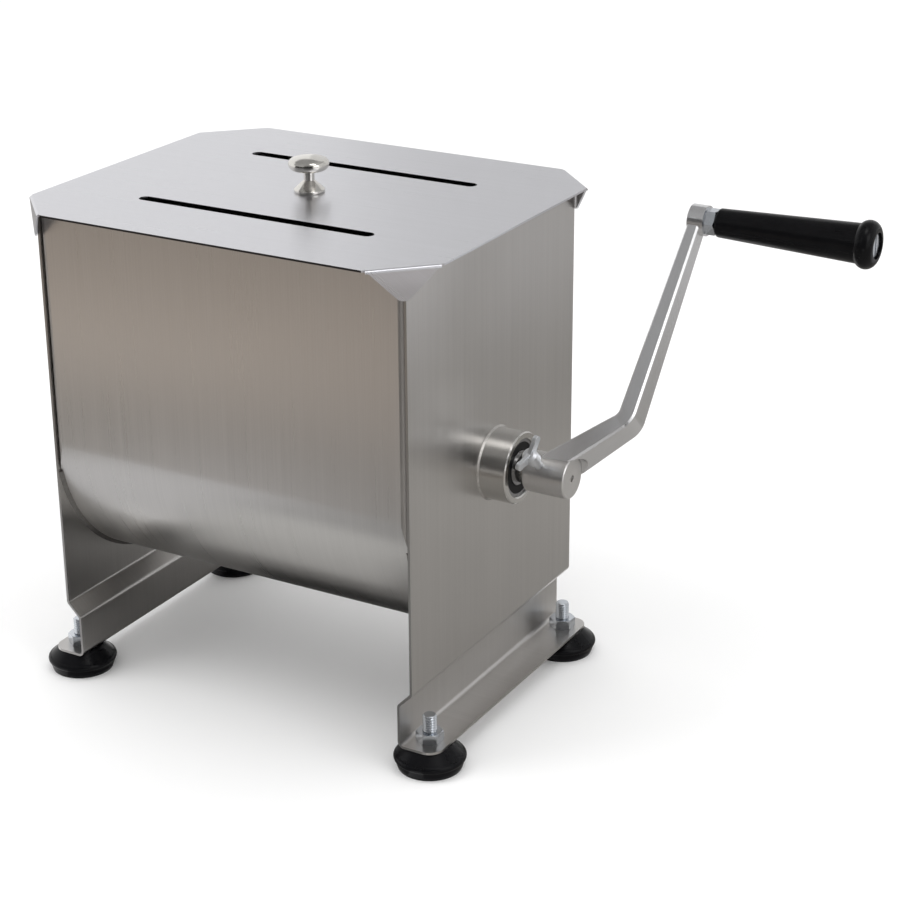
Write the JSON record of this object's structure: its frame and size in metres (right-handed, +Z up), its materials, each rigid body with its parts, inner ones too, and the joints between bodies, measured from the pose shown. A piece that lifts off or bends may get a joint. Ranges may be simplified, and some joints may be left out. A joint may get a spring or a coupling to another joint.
{
  "type": "hand-cranked meat mixer",
  "caption": "Hand-cranked meat mixer: stainless U-trough on bent end panels with rubber feet, slotted lift-off lid, paddle shaft on sealed bearings and dog-leg crank.",
  "frame": {"origin": "on the floor under the middle of the overall box, which the crank's handle and the left feet bound", "axes": "+Z up, +X along the shaft towards the crank, the front wall faces -Y"},
  "size_m": [0.458, 0.2487, 0.3292],
  "materials": {
    "tank_sheet": "brushed stainless sheet",
    "panel_sheet": "brushed stainless sheet",
    "lid_sheet": "brushed stainless sheet",
    "dressed_weld": "ground weld",
    "weld": "unground weld bead",
    "rubber": "matt black",
    "zinc": "bright zinc plate",
    "turned_steel": "turned stainless",
    "bearing_steel": "ground steel",
    "cage_plastic": "plain",
    "seal_rubber": "matt black",
    "food_plastic": "plain white",
    "polished_metal": "polished nickel",
    "crank_steel": "ground and polished",
    "grip_plastic": "glossy black"
  },
  "bodies": {
    "tank": {"trough": "tank_sheet", "right_end_panel": "panel_sheet", "left_end_panel": "panel_sheet", "corner_seams": "dressed_weld", "trough_welds": "weld", "rubber_feet": "rubber", "foot_studs": "zinc", "foot_nuts": "zinc", "bearing_housings": "turned_steel", "housing_welds": "weld", "outer_rings": "bearing_steel", "bearing_seals": "seal_rubber", "bearing_cap": "turned_steel", "shaft_bushes": "food_plastic"},
    "lid": {"lid": "lid_sheet", "lid_knob": "polished_metal", "knob_screw": "zinc"},
    "mixing_shaft": {"inner_rings": "bearing_steel", "paddle_shaft": "turned_steel", "paddle_stems": "turned_steel", "paddle_blades": "tank_sheet"},
    "ball_sets": {"bearing_balls": "bearing_steel", "ball_cages": "cage_plastic"},
    "crank": {"crank_hub": "crank_steel", "crank_arm": "crank_steel", "handle_spindle": "zinc", "jam_nut": "zinc"},
    "wing": {"wing_screw": "zinc"},
    "grip": {"grip": "grip_plastic"}
  },
  "joints": [
    {"name": "lid_lift", "type": "slide", "parent": "tank", "child": "lid", "axis": [0, 0, 1], "range_m": [0, 0.15]},
    {"name": "crank_turn", "type": "hinge", "parent": "tank", "child": "mixing_shaft", "pos_m": [-0.0795, -0.00875, 0.16], "axis": [1, 0, 0], "continuous": true},
    {"name": "ball_run", "type": "hinge", "parent": "tank", "child": "ball_sets", "pos_m": [0.057, -0.00875, 0.16], "axis": [1, 0, 0], "continuous": true},
    {"name": "crank_pull", "type": "slide", "parent": "mixing_shaft", "child": "crank", "axis": [1, 0, 0], "range_m": [0, 0.06]},
    {"name": "wing_turn", "type": "hinge", "parent": "crank", "child": "wing", "pos_m": [0.0785, -0.00875, 0.16], "axis": [0, -0.7314, 0.682], "range_deg": [0, 450]},
    {"name": "grip_turn", "type": "hinge", "parent": "crank", "child": "grip", "pos_m": [0.1805, 0.11005, 0.2874], "axis": [1, 0, 0], "continuous": true}
  ],
  "couplings": [
    {"joint": "ball_run", "follows": "crank_turn", "ratio": 0.40846}
  ]
}
